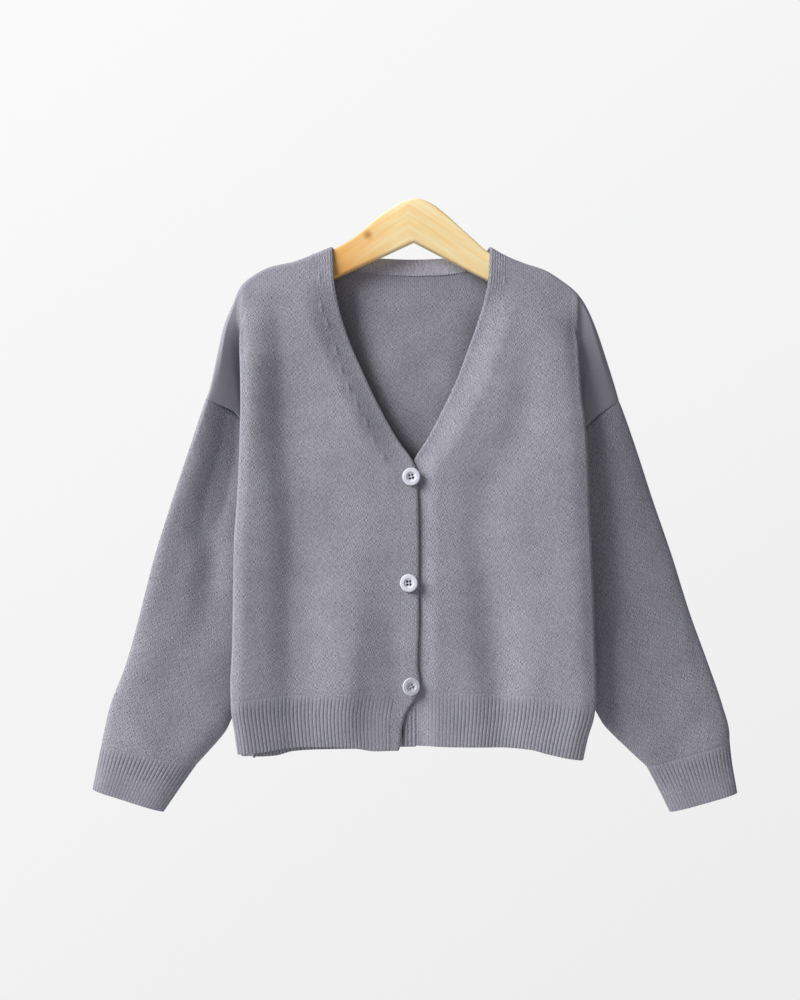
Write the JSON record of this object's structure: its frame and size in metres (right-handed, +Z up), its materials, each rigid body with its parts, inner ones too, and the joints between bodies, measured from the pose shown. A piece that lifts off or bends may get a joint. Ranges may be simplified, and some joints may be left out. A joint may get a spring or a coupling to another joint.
{
  "type": "button cardigan on wooden hanger",
  "caption": "V-neck button cardigan in plain stocking stitch with ribbed hem and cuffs, hung flat on a wooden board hanger.",
  "frame": {"origin": "middle of the hanger board's top, where its hook screws in", "axes": "+X towards the wearer's left, +Y towards the back, +Z up"},
  "size_m": [0.6445, 0.0519, 0.6136],
  "materials": {
    "knit": "soft matt knit",
    "button_plastic": "semi-gloss",
    "hanger_wood": "clear satin varnish"
  },
  "bodies": {
    "root": {"back": "knit", "hem_back": "knit", "front_right": "knit", "band_right": "knit", "hem_front_right": "knit", "sleeve_right": "knit", "cuff_right": "knit", "front_left": "knit", "band_left": "knit", "hem_front_left": "knit", "sleeve_left": "knit", "cuff_left": "knit", "neckband_back": "knit", "button_top": "button_plastic", "button_middle": "button_plastic", "button_bottom": "button_plastic", "hanger": "hanger_wood"}
  },
  "joints": []
}
